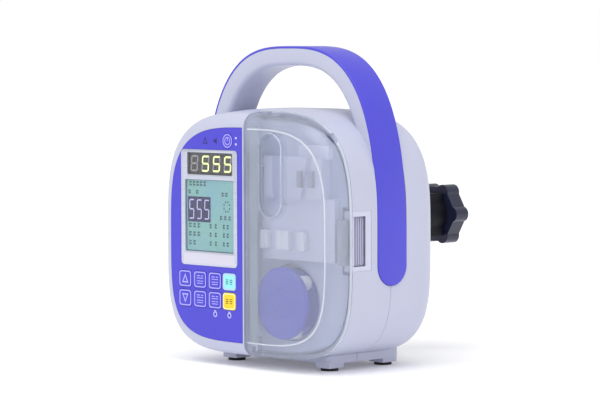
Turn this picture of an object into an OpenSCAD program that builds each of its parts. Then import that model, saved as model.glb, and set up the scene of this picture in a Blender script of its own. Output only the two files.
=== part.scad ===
// Infusion pump with a hinged pump-chamber door, a carrying handle and a pole clamp.
// Millimetres. +Z is up, the operator stands on the -Y side, and Z = 0 is the table.
// Depths are counted from the front face towards the back.

/* [Case] */
// Half of the width of the case
case_half_w = 76.5; // [72:0.5:82]
// Half of the height of the case, without the crown of its top
case_half_h = 73.3; // [70:0.1:78]
// Height of the middle of the case above the table
case_mid_z = 80.5; // [78:0.5:90]
// Depth of the case from front face to back face
case_depth = 93; // [90:1:100]
// Depth at which the front half meets the rear half
split_depth = 47; // [45:0.5:50]
// Radius of the front edge
front_round = 8; // [6:0.5:8]
// Radius of the rear edge
rear_round = 20; // [16:1:22]
// Rise of the top in the middle of its depth
crown = 3.4; // [0:0.2:5]
// Wall of the case
wall = 2.6; // [2.4:0.1:3]

/* [Handle] */
// Half of the width across the handle
handle_half_w = 77.2; // [76:0.1:80]
// Height of the top of the handle
handle_top_z = 195; // [188:0.5:200]
// Width of the handle from front to back
handle_width = 24.4; // [22:0.2:28]
// Thickness of the coloured cover
cover_t = 1.4; // [1:0.1:2]
// Width of the grip gap at its base
grip_half_w = 65.5; // [60:0.5:67]
// Height of the underside of the grip
grip_z = 183.2; // [180:0.2:185]

/* [Door] */
// Depth of the door
door_depth = 14; // [13.5:0.1:14.5]
// Wall of the door
door_wall = 2.4; // [2:0.1:2.6]

/* [Rotor] */
// Rotor axis, sideways
rotor_x = 25; // [24:0.5:27]
// Rotor axis, height
rotor_z = 41; // [40:0.5:43]
// Radius of the rotor cap
rotor_r = 21.7; // [21:0.1:22]
// Radius of a roller
roller_r = 4.6; // [4.2:0.1:4.6]
// Teeth of the driven gear
gear_teeth = 60; // [60:1:60]
// Teeth of the motor pinion
pinion_teeth = 15; // [15:1:15]

/* [Keys] */
// Width of a key
key_w = 11.5; // [11:0.1:12]
// Height of a key
key_h = 10.4; // [10:0.1:11]
// Travel of a key
key_travel = 0.5; // [0.3:0.1:0.6]

/* [Pole clamp] */
// Radius of the pole seat
pole_r = 12.6; // [12.5:0.05:12.7]
// Height of the clamp block
clamp_h = 27; // [24:1:30]
// Height of the clamp's screw axis
clamp_z = 87; // [86:0.5:88]
// Largest radius of the knob
knob_r = 21; // [19:0.5:21]
// Opening travel of the clamp pad
clamp_travel = 14; // [8:1:14]

/* [Hidden] */
$fn = 48;

// Outline exponents: the top is rounder than the bottom
top_power = 3.4;
base_power = 4.2;
outline_steps = 72;

// Clamp depths, front to back
bracket_plate_t = 6;
beam_x = -17;
seat_d = case_depth + bracket_plate_t + 1.4;
pole_d = seat_d + pole_r;
pad_d = pole_d + pole_r + 0.6;
pad_t = 6;
arm_d = pad_d + pad_t + clamp_travel + 1.6;
arm_t = 16;
knob_d = arm_d + arm_t + 0.6;
// Clamp screw of 10 mm and 2 mm pitch, drawn at its core, and its insert, drawn at its root
screw_core_r = 3.75;
screw_root_r = 5.25;
insert_r = 9.5;
knob_t = 11;
lobe_r = 5;
knob_dome = 1.2;
capsule_rise = 2.6;
capsule_x = 21;
capsule_z = [102.4, 133];
capsule_r = 10.1;
notch_x = 12;
face_y = -(knob_d + knob_t + knob_dome - capsule_rise) / 2;

// Door and hinge
door_x = 0;
divide_x = -2.2;
hinge_x = 4.2;
hinge_d = 5;
knuckle_r = 2.4;
pin_r = 1;
pin_gap = 0.06;
// Side of the square that chamfers the door's hinge edge
swing_chamfer = 0.85;
reveal = 0.4;
rim_d = door_depth + reveal;
floor_d = rim_d + 3;
floor_t = 2.6;
bead = 0.3;
// Hinge knuckles of the door and ears of the deck, as lower end and height
knuckles = [[10.8, 9], [123.6, 12]];
ears = [20.2, 115.4];
ear_h = 7.6;
pins = [[11.2, 16.2], [115.6, 19.6]];

// Handle band
handle_mid_z = 60;
handle_power = 2.9;
handle_d = split_depth - handle_width / 2 + 0.6;
channel_half_w = 73.8;
tip_z = 64.4;

// Base tray
tray_half_w = 47.5;

// Screws
screw_seat_d = 76;
screw_x = 54;
front_post_r = 3.5;
screw_z = [27, 133];
bracket_screw = [17, 19];

// Inlet, as X and Z limits
inlet = [-52, -24, 38, 58];

// Front panel
film_t = 0.6;
film_edge_x = -3.4;
bezel = [-58.6, -7.8, 60.6, 131.8];
led_box = [-52.6, -12.4, 116.8, 129.6];
lcd_box = [-54.6, -11.4, 69.6, 113];
key_x = [-55.2, -41.5, -28, -15.2];
key_z = [51.8, 39.9];
power_x = -16.2;
power_z = 137.6;
power_r = 4.4;

// Keys
key_flange = 0.5;
key_back = 4.7;
mat_d = key_back + key_travel + 0.2;

// Latch: the slide runs under a lip behind its window
latch_travel = 3;
latch_front = rim_d + 1.6;
latch_w = 9.4;
latch_z = [65.4, 94.2];
pocket_back = latch_front + latch_w + latch_travel + 0.4;
latch_back = pocket_back + 1.6;
slide_x = [70.6, 74.2];
spring_x = 72.4;
spring_z = [72, 88];
rib_count = 5;

// Gears
gear_module = 0.8;
gear_r = gear_teeth * gear_module / 2;
pinion_r = pinion_teeth * gear_module / 2;
gear_gap = gear_r + pinion_r;
motor_z = rotor_z + gear_gap;
gear_d = 31;
gear_t = 6;
frame_d = 42;
frame_feet = [[-4, 34.2], [53.6, 35.4], [6, 86], [44, 86]];

// Rollers
roller_count = 3;
roller_orbit = rotor_r + 0.5 - roller_r;
roller_phase = 45;
shaft_r = 3;
pin_axle_r = 1.2;
deck_d = floor_d - 3;
cap_d = 5;
cap_t = 3;
hub_d = deck_d + 0.3;

// ---------- outlines and lofts ----------

function sgn_pow(v, p) = sign(v) * pow(abs(v), p);

// Closed outline of the case, pulled in by inset, with its top raised by lift
function case_ring(inset, lift) = [
    for (i = [0:outline_steps - 1])
        let (a = 360 * i / outline_steps,
             p = sin(a) > 0 ? top_power : base_power,
             half_h = case_half_h - inset + (sin(a) > 0 ? lift : 0))
        [(case_half_w - inset) * sgn_pow(cos(a), 2 / p), case_mid_z + half_h * sgn_pow(sin(a), 2 / p)]
];

function lift_at(d) = crown * (1 - pow((d - split_depth) / split_depth, 2));

// Inset of the case surface at depth d, from its two rounded edges
function edge_inset(d) =
    d < front_round ? front_round - sqrt(pow(front_round, 2) - pow(front_round - d, 2))
    : d > case_depth - rear_round
        ? rear_round - sqrt(max(0, pow(rear_round, 2) - pow(d - case_depth + rear_round, 2)))
    : 0;

// Depths of the rings between d0 and d1, closer together on the rounded edges
function ring_depths(d0, d1) = let (all = concat(
        [for (a = [0:15:75]) front_round * (1 - cos(a))],
        [front_round, 18, 30, split_depth, 60],
        [for (a = [0:15:90]) case_depth - rear_round * (1 - sin(a))]))
    concat([d0], [for (d = all) if (d > d0 + 0.05 && d < d1 - 0.05) d], [d1]);

// Solid inside the case surface, moved inwards by off, between depths d0 and d1
module case_solid(d0, d1, off = 0) {
    depths = ring_depths(d0, d1);
    n = outline_steps;
    rings = len(depths);
    points = [for (d = depths)
        let (ring = case_ring(edge_inset(d) + off, lift_at(d)))
        for (p = ring) [p[0], face_y + d, p[1]]];
    sides = [for (k = [0:rings - 2]) for (i = [0:n - 1])
        [k * n + i, k * n + (i + 1) % n, (k + 1) * n + (i + 1) % n, (k + 1) * n + i]];
    front_cap = [[for (i = [n - 1:-1:0]) i]];
    back_cap = [[for (i = [0:n - 1]) (rings - 1) * n + i]];
    polyhedron(points = points, faces = concat(sides, front_cap, back_cap), convexity = 6);
}

// Prism of an X-Z outline between two depths
module slab(d0, d1) {
    translate([0, face_y + d1, 0])
        rotate([90, 0, 0])
            linear_extrude(d1 - d0)
                children();
}

module block(x0, x1, d0, d1, z0, z1) {
    translate([x0, face_y + d0, z0])
        cube([x1 - x0, d1 - d0, z1 - z0]);
}

module rod_y(x, z, d0, d1, r) {
    translate([x, face_y + d1, z])
        rotate([90, 0, 0])
            cylinder(h = d1 - d0, r = r);
}

module rod_z(x, d, z0, z1, r) {
    translate([x, face_y + d, z0])
        cylinder(h = z1 - z0, r = r);
}

module rod_x(d, z, x0, x1, r) {
    translate([x0, face_y + d, z])
        rotate([0, 90, 0])
            cylinder(h = x1 - x0, r = r);
}

// Rectangle with round corners, in X and Z
module rounded(x0, x1, z0, z1, r) {
    for (x = [x0 + r, x1 - r])
        for (z = [z0 + r, z1 - r])
            translate([x, z])
                circle(r = r, $fn = 24);
    translate([x0 + r, z0])
        square([x1 - x0 - 2 * r, z1 - z0]);
    translate([x0, z0 + r])
        square([x1 - x0, z1 - z0 - 2 * r]);
}

module rounded_slab(x0, x1, d0, d1, z0, z1, r) {
    slab(d0, d1)
        rounded(x0, x1, z0, z1, r);
}

// ---------- handle outlines ----------

// Upright superellipse about handle_mid_z, in X and Z
module arch(half_w, top_z) {
    half_h = top_z - handle_mid_z;
    polygon([for (i = [0:95])
        let (a = 360 * i / 96)
        [half_w * sgn_pow(cos(a), 2 / handle_power),
         handle_mid_z + half_h * sgn_pow(sin(a), 2 / handle_power)]]);
}

// Side view of the band: straight up from a round lower tip
module band_side(gap = 0) {
    r = handle_width / 2 + gap;
    mid = handle_d + handle_width / 2;
    block(-90, 90, mid - r, mid + r, tip_z, handle_top_z + 5);
    rod_x(mid, tip_z, -90, 90, r);
}

// Channel in the sides of the case that takes the legs of the handle
module handle_channel(gap = 0.1) {
    difference() {
        band_side(gap);
        slab(handle_d - 20, handle_d + handle_width + 20)
            arch(channel_half_w - gap, handle_top_z - 3 - gap);
    }
}

// ---------- case ----------

module film_outline(off = 0) {
    intersection() {
        polygon(case_ring(front_round + off, 0));
        translate([-100, -20])
            square([100 + film_edge_x - off, 250]);
    }
}

module door_space() {
    block(divide_x, 100, -5, rim_d, -20, 250);
    intersection() {
        case_solid(rim_d - 1, floor_d, wall);
        block(divide_x, 100, 0, floor_d, -20, 250);
    }
}

module latch_space() {
    block(slide_x[0] - 1.7, 90, rim_d - 1, latch_back, 62, 98);
}

module case_cavity() {
    intersection() {
        case_solid(wall + film_t, case_depth - wall, wall);
        union() {
            block(-100, divide_x - wall, 0, 120, -20, 250);
            block(-100, 66, floor_d + floor_t, 120, -20, 250);
            block(-100, 100, 30, 120, -20, 250);
        }
    }
}

module handle_ribs() {
    for (side = [-1, 1])
        block(side > 0 ? 70 : -80, side > 0 ? 80 : -70, 32, 62, 48, 128);
}

module case_hollow() {
    difference() {
        case_cavity();
        handle_ribs();
    }
}

module screw_posts(d0, d1, r) {
    for (x = [-screw_x, screw_x])
        for (z = screw_z)
            rod_y(x, z, d0, d1, r);
}

module bracket_screws(d0, d1, r) {
    for (x = [-bracket_screw[0], bracket_screw[0]])
        for (z = [clamp_z - bracket_screw[1], clamp_z + bracket_screw[1]])
            rod_y(x, z, d0, d1, r);
}

module front_posts() {
    for (z = screw_z) {
        rod_y(-screw_x, z, wall, split_depth, front_post_r);
        rod_y(screw_x, z, floor_d + 1, split_depth, front_post_r);
    }
}

module front_case() {
    color("gainsboro") {
        difference() {
            case_solid(0, split_depth);
            case_hollow();
            door_space();
            latch_space();
            handle_channel();
            slab(-1, film_t)
                film_outline(-0.1);
            rounded_slab(bezel[0] + 1.4, bezel[1] - 1.4, -1, 8, bezel[2] + 1.4, bezel[3] - 1.4, 2);
            for (x = key_x)
                for (z = key_z)
                    rounded_slab(x - key_w / 2 - 0.3, x + key_w / 2 + 0.3, -1, 8,
                        z - key_h / 2 - 0.3, z + key_h / 2 + 0.3, 2.4);
            rod_y(power_x, power_z, -1, 8, power_r + 0.3);
            rod_y(rotor_x, rotor_z, 10, 30, 9);
        }
        difference() {
            front_posts();
            screw_posts(split_depth - 14, split_depth + 1, 1.25);
        }
        difference() {
            rod_y(rotor_x, rotor_z, floor_d + 1, floor_d + 7, 12);
            rod_y(rotor_x, rotor_z, floor_d, floor_d + 6, 9);
            rod_y(rotor_x, rotor_z, floor_d, floor_d + 8, 6);
        }
    }
}

// Prism of the inlet's outline, grown by gap
module inlet_slab(d0, d1, gap) {
    rounded_slab(inlet[0] - gap, inlet[1] + gap, d0, d1, inlet[2] - gap, inlet[3] + gap, 2);
}

module rear_case() {
    color("gainsboro") {
        difference() {
            case_solid(split_depth, case_depth);
            case_hollow();
            handle_channel();
            inlet_slab(70, 95, 0.2);
            screw_posts(60, 100, 3.2);
            bracket_screws(80, 100, 1.5);
            for (k = [0:6])
                block(16, 46, 85, 95, 24 + 4 * k, 25.6 + 4 * k);
        }
        difference() {
            intersection() {
                screw_posts(split_depth, case_depth, 4.6);
                case_solid(split_depth, case_depth);
            }
            screw_posts(split_depth - 1, case_depth, 1.6);
            screw_posts(screw_seat_d, 100, 3.2);
        }
    }
}

module case_gasket() {
    color("dimgray")
        difference() {
            case_solid(split_depth - 0.9, split_depth + 0.9, wall + 0.1);
            case_solid(split_depth - 1, split_depth + 1, wall + 1.5);
            handle_ribs();
            block(-100, 100, split_depth - 2, split_depth + 2, 130, 134);
            screw_posts(40, 60, 4.8);
        }
}

module base_tray() {
    color("gainsboro")
        difference() {
            union() {
                translate([0, face_y + 54.2, 4.6])
                    linear_extrude(13)
                        rounded(-tray_half_w, tray_half_w, -29.9, 29.9, 4);
                for (x = [-41, 41])
                    for (d = [30, 76])
                        translate([x - 6, face_y + d - 6, 1.8])
                            cube([12, 12, 4]);
            }
            case_solid(10, case_depth, -0.15);
            for (x = [-41, 41])
                for (d = [30, 76])
                    rod_z(x, d, 0, 3.8, 4.2);
            // Fine grooves that carry on the joint line of the case
            for (x = [-60, tray_half_w - 0.4])
                block(x, x + 60.4 - tray_half_w, split_depth - 0.25, split_depth + 0.25, 0, 30);
        }
}

module rubber_feet() {
    color("black")
        for (x = [-41, 41])
            for (d = [30, 76]) {
                rod_z(x, d, 0, 1.7, 5.4);
                rod_z(x, d, 1.6, 3.7, 4.15);
            }
}

module handle_core() {
    color("whitesmoke")
        difference() {
            intersection() {
                slab(handle_d, handle_d + handle_width)
                    arch(handle_half_w - cover_t - 0.02, handle_top_z - cover_t - 0.02);
                band_side();
                block(-90, 90, 0, 90, tip_z - handle_width / 2 + 1, 250);
            }
            slab(handle_d - 1, handle_d + handle_width + 1)
                arch(grip_half_w, grip_z);
            difference() {
                case_solid(10, case_depth - 10, -0.12);
                handle_channel(0);
            }
        }
}

module handle_cover() {
    color("slateblue")
        intersection() {
            difference() {
                slab(handle_d, handle_d + handle_width)
                    arch(handle_half_w, handle_top_z);
                slab(handle_d - 1, handle_d + handle_width + 1)
                    arch(handle_half_w - cover_t, handle_top_z - cover_t);
            }
            band_side();
            block(-90, 90, 0, 90, tip_z - handle_width / 2, 250);
        }
}

// ---------- front panel ----------

module panel_overlay() {
    color("mediumslateblue")
        difference() {
            slab(0, film_t - 0.02)
                film_outline();
            rounded_slab(bezel[0] - 0.1, bezel[1] + 0.1, -1, 2, bezel[2] - 0.1, bezel[3] + 0.1, 2.6);
            for (x = key_x)
                for (z = key_z)
                    rounded_slab(x - key_w / 2 - 0.2, x + key_w / 2 + 0.2, -1, 2,
                        z - key_h / 2 - 0.2, z + key_h / 2 + 0.2, 2.2);
            rod_y(power_x, power_z, -1, 2, power_r + 0.2);
        }
}

module display_bezel() {
    color("silver")
        difference() {
            union() {
                rounded_slab(bezel[0], bezel[1], -0.2, film_t - 0.02, bezel[2], bezel[3], 2.5);
                rounded_slab(bezel[0] + 1.5, bezel[1] - 1.5, film_t - 0.1, 2.6,
                    bezel[2] + 1.5, bezel[3] - 1.5, 1.9);
            }
            rounded_slab(led_box[0] - 0.4, led_box[1] + 0.4, -1, 4, led_box[2] - 0.4, led_box[3] + 0.4, 0.8);
            rounded_slab(lcd_box[0] - 0.4, lcd_box[1] + 0.4, -1, 4, lcd_box[2] - 0.4, lcd_box[3] + 0.4, 0.8);
        }
}

module display_window() {
    color("lightcyan", 0.4)
        for (b = [led_box, lcd_box])
            rounded_slab(b[0] - 0.35, b[1] + 0.35, 0, 1, b[2] - 0.35, b[3] + 0.35, 0.75);
}

module led_module() {
    color("black")
        block(led_box[0], led_box[1], 1.1, 9, led_box[2], led_box[3]);
}

module lcd_module() {
    color("cadetblue")
        block(lcd_box[0], lcd_box[1], 1.1, 8, lcd_box[2], lcd_box[3]);
}

module display_board() {
    color("darkgreen")
        difference() {
            union() {
                block(-58, -8, 9.4, 11, 62, 128.4);
                block(-50, -20, 11, 14, 72, 90);
                block(-58, -54, 11, 16, 96, 120);
            }
            for (x = [-56, -10])
                for (z = [65, 125.4])
                    rod_y(x, z, 9, 12, 1.3);
        }
}

module keypad_mat() {
    color("lightslategray") {
        block(-64, -8, mat_d, mat_d + 1.2, 32, 60);
        rod_y(power_x, power_z, mat_d, mat_d + 1.2, 4.6);
    }
}

module main_board() {
    color("darkgreen")
        difference() {
            union() {
                block(-48, 48, 80, 81.6, 60, 138);
                block(-30, -8, 77, 80, 84, 106);
                block(10, 24, 76, 80, 110, 128);
                for (x = [-44, 30])
                    block(x, x + 12, 72, 80, 62, 68);
            }
            for (x = [-45, 45])
                for (z = [63, 135])
                    rod_y(x, z, 79, 83, 1.5);
        }
}

module power_board() {
    color("olivedrab") {
        block(-64, -6, 50, 51.6, 48, 96);
        block(-58, -36, 51.6, 66, 52, 72);
        rod_y(-20, 62, 51.6, 70, 6);
        rod_y(-20, 80, 51.6, 66, 5);
    }
}

module battery_pack() {
    color("royalblue")
        for (d = [22, 38])
            rod_x(d, 23, -48, -6, 8.2);
}

module speaker() {
    color("dimgray") {
        rod_y(-38, 120, 56, 60, 14);
        rod_y(-38, 120, 60, 66, 8);
    }
}

module power_inlet() {
    color("black") {
        difference() {
            union() {
                inlet_slab(74, 91.6, 0);
                inlet_slab(86.5, 88.2, 3);
            }
            inlet_slab(77, 95, -3);
        }
        for (k = [-1:1])
            let (x = (inlet[0] + inlet[1]) / 2 + 6 * k)
                block(x - 1.2, x + 1.2, 76.9, 88, inlet[2] + 8, inlet[2] + 12.5);
    }
}

// ---------- pump mechanism ----------

// Floor of the pump chamber, with the ears of the door hinge
module pump_deck() {
    color("lavender") {
        difference() {
            slab(deck_d, floor_d - 0.1)
                intersection() {
                    polygon(case_ring(door_wall + 1, 0));
                    translate([divide_x + 0.3, -20])
                        square([100, 250]);
                }
            rod_y(rotor_x, rotor_z, 0, 30, rotor_r + 1.6);
            block(slide_x[0] - 2.8, 90, 0, 30, 60, 100);
        }
        for (z = ears)
            hinge_ear(z);
    }
}

// Raised part above the rotor that holds the tube
module deck_cover() {
    color("lavender")
        difference() {
            union() {
                block(8.6, 58, 7, deck_d - 0.02, 104, 129);
                block(4.8, 66, 10, deck_d - 0.02, 67, 104.5);
                block(34, 60, 11, deck_d - 0.02, 128, 136);
            }
            // Groove for the tube, slanted across the upper part
            translate([45.4, face_y + 7.4, 116])
                rotate([0, 13.5, 0])
                    translate([0, 0, -16])
                        cylinder(h = 40, r = 2.4);
            rod_z(capsule_x, 8, 100, 160, 5.2);
        }
}

module hinge_ear(z) {
    difference() {
        union() {
            rod_z(hinge_x, hinge_d, z, z + ear_h, knuckle_r);
            block(hinge_x - 1.4, hinge_x + 1.6, hinge_d, deck_d + 1, z, z + ear_h);
        }
        rod_z(hinge_x, hinge_d, z - 1, z + ear_h + 1, pin_r + 0.01);
    }
}

module tube_guides() {
    color("ghostwhite")
        for (edge = [[5.2, 11.8], [19.6, 30.1], [38, 43.4]])
            difference() {
                rounded_slab(edge[0], edge[1], 6.4, 9.95, 73.4, 84.4, 1);
                rod_z((edge[0] + edge[1]) / 2, 5.6, 70, 90, 1.9);
            }
}

module tube_sensor() {
    color("gray")
        for (x = [39.2, 48.6])
            rounded_slab(x, x + 3.4, 4.6, 6.95, 111, 121, 0.8);
}

module rotor_bearings() {
    color("silver") {
        difference() {
            rod_y(rotor_x, rotor_z, floor_d + 0.6, floor_d + 5.6, 8.95);
            rod_y(rotor_x, rotor_z, 0, 60, shaft_r + 0.05);
        }
        difference() {
            rod_y(rotor_x, rotor_z, frame_d, frame_d + 4, 6.45);
            rod_y(rotor_x, rotor_z, 0, 60, shaft_r + 0.05);
        }
    }
}

module gear_frame() {
    color("lightsteelblue")
        difference() {
            union() {
                rounded_slab(0, 50, frame_d - 0.2, frame_d + 2.4, 30, 92, 4);
                rod_y(rotor_x, rotor_z, frame_d - 0.2, frame_d + 4.6, 9);
                for (foot = frame_feet)
                    rod_y(foot[0], foot[1], floor_d + floor_t + 0.1, frame_d + 2.4, 3.2);
                block(-4, 53.6, frame_d - 0.2, frame_d + 2.4, 31, 37.6);
            }
            rod_y(rotor_x, rotor_z, 30, frame_d + 4.1, 6.5);
            rod_y(rotor_x, rotor_z, 30, 60, 5);
            rod_y(rotor_x, motor_z, 30, 60, 5.2);
        }
}

module drive_motor() {
    color("silver")
        difference() {
            union() {
                rod_y(rotor_x, motor_z, frame_d + 2.5, 70, 12);
                rod_y(rotor_x, motor_z, frame_d, frame_d + 3, 5);
            }
            rod_y(rotor_x, motor_z, 30, frame_d + 8, 1.6);
        }
}

// Flat-flanked teeth on a root circle, with room for backlash
function gear_points(teeth) = let (
        pitch_r = teeth * gear_module / 2,
        step = 360 / teeth,
        root = pitch_r - 1.2 * gear_module,
        tip = pitch_r + 0.85 * gear_module)
    [for (k = [0:teeth - 1])
        for (p = [[root, -0.34], [tip, -0.12], [tip, 0.12], [root, 0.34]])
            [p[0] * cos((k + p[1]) * step), p[0] * sin((k + p[1]) * step)]];

module driven_gear() {
    color("ivory")
        difference() {
            slab(gear_d, gear_d + gear_t)
                translate([rotor_x, rotor_z])
                    polygon(gear_points(gear_teeth));
            rod_y(rotor_x, rotor_z, 0, 60, shaft_r + 0.01);
            for (a = [0:60:300])
                rod_y(rotor_x + 14 * cos(a), rotor_z + 14 * sin(a), 0, 60, 4);
        }
}

module motor_pinion() {
    color("gold") {
        slab(gear_d - 0.5, gear_d + gear_t + 1)
            translate([rotor_x, motor_z])
                rotate(-90 + 180 / pinion_teeth)
                    polygon(gear_points(pinion_teeth));
        rod_y(rotor_x, motor_z, gear_d + gear_t, frame_d + 6, 1.5);
    }
}

module rotor_shaft() {
    color("silver")
        rod_y(rotor_x, rotor_z, cap_d + 1, frame_d + 4, shaft_r);
}

module on_rollers() {
    for (k = [0:roller_count - 1])
        let (a = roller_phase + 360 * k / roller_count)
            translate([roller_orbit * cos(a), 0, roller_orbit * sin(a)])
                children();
}

module rotor_cap() {
    color("slateblue")
        difference() {
            translate([rotor_x, face_y + cap_d + cap_t, rotor_z])
                rotate([90, 0, 0])
                    rotate_extrude($fn = 64)
                        polygon([[0, 0], [rotor_r, 0], [rotor_r, cap_t - 0.8], [rotor_r - 0.8, cap_t],
                            [9, cap_t], [8.2, cap_t - 0.7], [0, cap_t - 0.7]]);
            rod_y(rotor_x, rotor_z, cap_d + 0.9, 20, shaft_r + 0.01);
            on_rollers()
                rod_y(rotor_x, rotor_z, cap_d + 1.2, 20, pin_axle_r + 0.01);
        }
}

module rotor_hub() {
    color("slateblue")
        difference() {
            union() {
                rod_y(rotor_x, rotor_z, hub_d, hub_d + 2.2, rotor_r - 0.6);
                rod_y(rotor_x, rotor_z, cap_d + cap_t + 0.05, hub_d + 1, 7);
            }
            rod_y(rotor_x, rotor_z, 0, 30, shaft_r + 0.01);
            on_rollers()
                rod_y(rotor_x, rotor_z, 0, 30, pin_axle_r + 0.01);
        }
}

module roller_pins() {
    color("silver")
        on_rollers()
            rod_y(rotor_x, rotor_z, cap_d + 1.3, hub_d + 2, pin_axle_r);
}

module roller(k) {
    a = roller_phase + 360 * (k - 1) / roller_count;
    x = rotor_x + roller_orbit * cos(a);
    z = rotor_z + roller_orbit * sin(a);
    color("whitesmoke")
        difference() {
            rod_y(x, z, cap_d + cap_t + 0.3, hub_d - 0.3, roller_r);
            rod_y(x, z, 0, 30, pin_axle_r + 0.05);
        }
}

// ---------- door ----------

module door_body() {
    difference() {
        union() {
            intersection() {
                union() {
                    case_solid(0, door_depth);
                    case_solid(door_depth - 2.2, door_depth, -bead);
                }
                block(door_x, 100, -5, 30, -20, 250);
            }
            // Raised field within the round edge of the front
            slab(-bead, 0.5)
                intersection() {
                    polygon(case_ring(front_round + 0.5, 0));
                    translate([door_x + 1.6, -20])
                        square([100, 250]);
                }
        }
        case_solid(door_wall, door_depth + 1, door_wall);
        // The walls stop short next to the hinge
        block(-5, 5.2, door_depth - 1.6, 30, -20, 250);
    }
}

module capsule_outline(r) {
    rounded(capsule_x - r, capsule_x + r, capsule_z[0] - r, capsule_z[1] + r, r - 0.01);
}

module door_shell() {
    color("lightsteelblue", 0.55)
        difference() {
            union() {
                door_body();
                for (k = knuckles)
                    rod_z(hinge_x, hinge_d, k[0], k[0] + k[1], knuckle_r + 0.4);
            }
            for (k = knuckles)
                rod_z(hinge_x, hinge_d, k[0] - 0.4, k[0] + k[1] + 1, pin_r + pin_gap);
            slab(-5, 10)
                capsule_outline(capsule_r + 0.1);
            // Chamfer that lets the hinge edge swing past the case
            translate([door_x, face_y, case_mid_z])
                rotate([0, 0, 45])
                    cube([swing_chamfer, swing_chamfer, 4 * case_half_h], center = true);
            // Notches for the tube, open to the rear edge
            block(notch_x - 4.5, notch_x + 4.5, door_depth - 5, 30, 145, 170);
            translate([notch_x, face_y + door_depth - 5, 145])
                cylinder(h = 25, r = 4.5);
            translate([58, face_y + door_depth, 141])
                rotate([0, 45, 0])
                    translate([-5.5, -6.4, -10])
                        cube([11, 20, 30]);
        }
}

module door_capsule() {
    color("white", 0.5)
        difference() {
            union() {
                capsule_dome(0);
                slab(door_wall + 0.02, door_wall + 1)
                    capsule_outline(capsule_r + 1.5);
            }
            capsule_dome(1.2);
            slab(door_wall - 0.5, 10)
                capsule_outline(capsule_r - 1.3);
        }
}

// Long dome that stands out of the front face, thinned by t
module capsule_dome(t) {
    hull()
        for (z = capsule_z)
            for (ring = [[0.6, capsule_r], [1.9 - t * 0.8, 8.6], [capsule_rise - t, 6]])
                translate([capsule_x, face_y, z])
                    rotate([90, 0, 0])
                        cylinder(h = ring[0], r = ring[1] - t, $fn = 40);
    slab(-0.02, door_wall + 0.1)
        capsule_outline(capsule_r - t);
}

module door_catch() {
    color("gray")
        difference() {
            block(70.8, 73.9, 7.4, door_depth - 0.6, 66, 93);
            rod_x(10.4, 79.5, 60, 72, 2);
        }
}

module hinge_pins() {
    color("silver")
        for (pin = pins)
            rod_z(hinge_x, hinge_d, pin[0], pin[0] + pin[1], pin_r);
}

// ---------- latch ----------

module latch_frame() {
    color("lightgray")
        difference() {
            block(slide_x[0] - 1.4, 76.1, rim_d + 0.2, latch_back - 0.2, 62.2, 97.8);
            // Pocket with room for the travel, and the window in front of it
            block(slide_x[0] - 0.3, slide_x[1] + 0.9, latch_front - 0.4, pocket_back,
                latch_z[0] - 0.4, latch_z[1] + 0.4);
            block(slide_x[0] - 0.3, 80, latch_front - 0.4, latch_front + latch_w + 0.4,
                latch_z[0] - 0.4, latch_z[1] + 0.4);
            block(slide_x[0] - 0.3, slide_x[1] + 0.3, rim_d - 1, latch_front, 76.4, 83.6);
        }
}

module latch_slide() {
    rib_step = latch_w / rib_count;
    color("silver")
        difference() {
            union() {
                block(slide_x[0], slide_x[1], latch_front, latch_front + latch_w, latch_z[0], latch_z[1]);
                for (k = [0:rib_count - 1])
                    block(slide_x[1] - 0.2, slide_x[1] + 0.7, latch_front + 0.5 + k * rib_step,
                        latch_front + 1.4 + k * rib_step, latch_z[0] + 0.6, latch_z[1] - 0.6);
                block(slide_x[0] + 1.6, slide_x[1] - 0.4, door_depth + 0.2, latch_front + 1, 77, 83);
            }
            for (z = spring_z)
                rod_y(spring_x, z, latch_front + 2, 60, 1.25);
        }
}

// Round wire wound along Y
module coil(x, z, d0, d1, coil_r, wire_r, turns) {
    steps = turns * 14;
    sides = 6;
    points = [for (i = [0:steps])
        let (a = 360 * turns * i / steps, d = d0 + wire_r + (d1 - d0 - 2 * wire_r) * i / steps)
        for (j = [0:sides - 1])
            let (b = 360 * j / sides, r = coil_r + wire_r * cos(b))
            [x + r * cos(a), face_y + d + wire_r * sin(b), z + r * sin(a)]];
    walls = [for (i = [0:steps - 1]) for (j = [0:sides - 1])
        [i * sides + j, (i + 1) * sides + j, (i + 1) * sides + (j + 1) % sides, i * sides + (j + 1) % sides]];
    first = [[for (j = [0:sides - 1]) j]];
    last = [[for (j = [sides - 1:-1:0]) steps * sides + j]];
    polyhedron(points = points, faces = concat(walls, first, last), convexity = 8);
}

module latch_spring() {
    color("silver")
        for (z = spring_z)
            coil(spring_x, z, latch_front + 2.1, pocket_back - 0.1, 0.85, 0.2, 8);
}

// ---------- keys ----------

module key(col, row) {
    x = key_x[col];
    z = key_z[row];
    color("mediumslateblue") {
        rounded_slab(x - key_w / 2, x + key_w / 2, -0.25, 3.6, z - key_h / 2, z + key_h / 2, 2);
        rounded_slab(x - key_w / 2 - key_flange, x + key_w / 2 + key_flange, 3.5, key_back,
            z - key_h / 2, z + key_h / 2, 2);
    }
}

module power_key() {
    color("lavender") {
        rod_y(power_x, power_z, -0.25, 4, power_r);
        rod_y(power_x, power_z, 3.5, key_back, power_r + 0.8);
    }
}

// ---------- fasteners ----------

module case_screws() {
    color("silver") {
        screw_posts(split_depth - 12, screw_seat_d + 0.5, 1.2);
        difference() {
            screw_posts(screw_seat_d + 0.02, screw_seat_d + 2.4, 2.9);
            screw_posts(screw_seat_d + 1.2, screw_seat_d + 3, 1.1);
        }
    }
}

module clamp_screws() {
    color("silver") {
        bracket_screws(case_depth - 5, case_depth + bracket_plate_t + 1, 1.45);
        bracket_screws(case_depth + bracket_plate_t + 0.02, case_depth + bracket_plate_t + 2.2, 2.8);
    }
}

// ---------- pole clamp ----------

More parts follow.
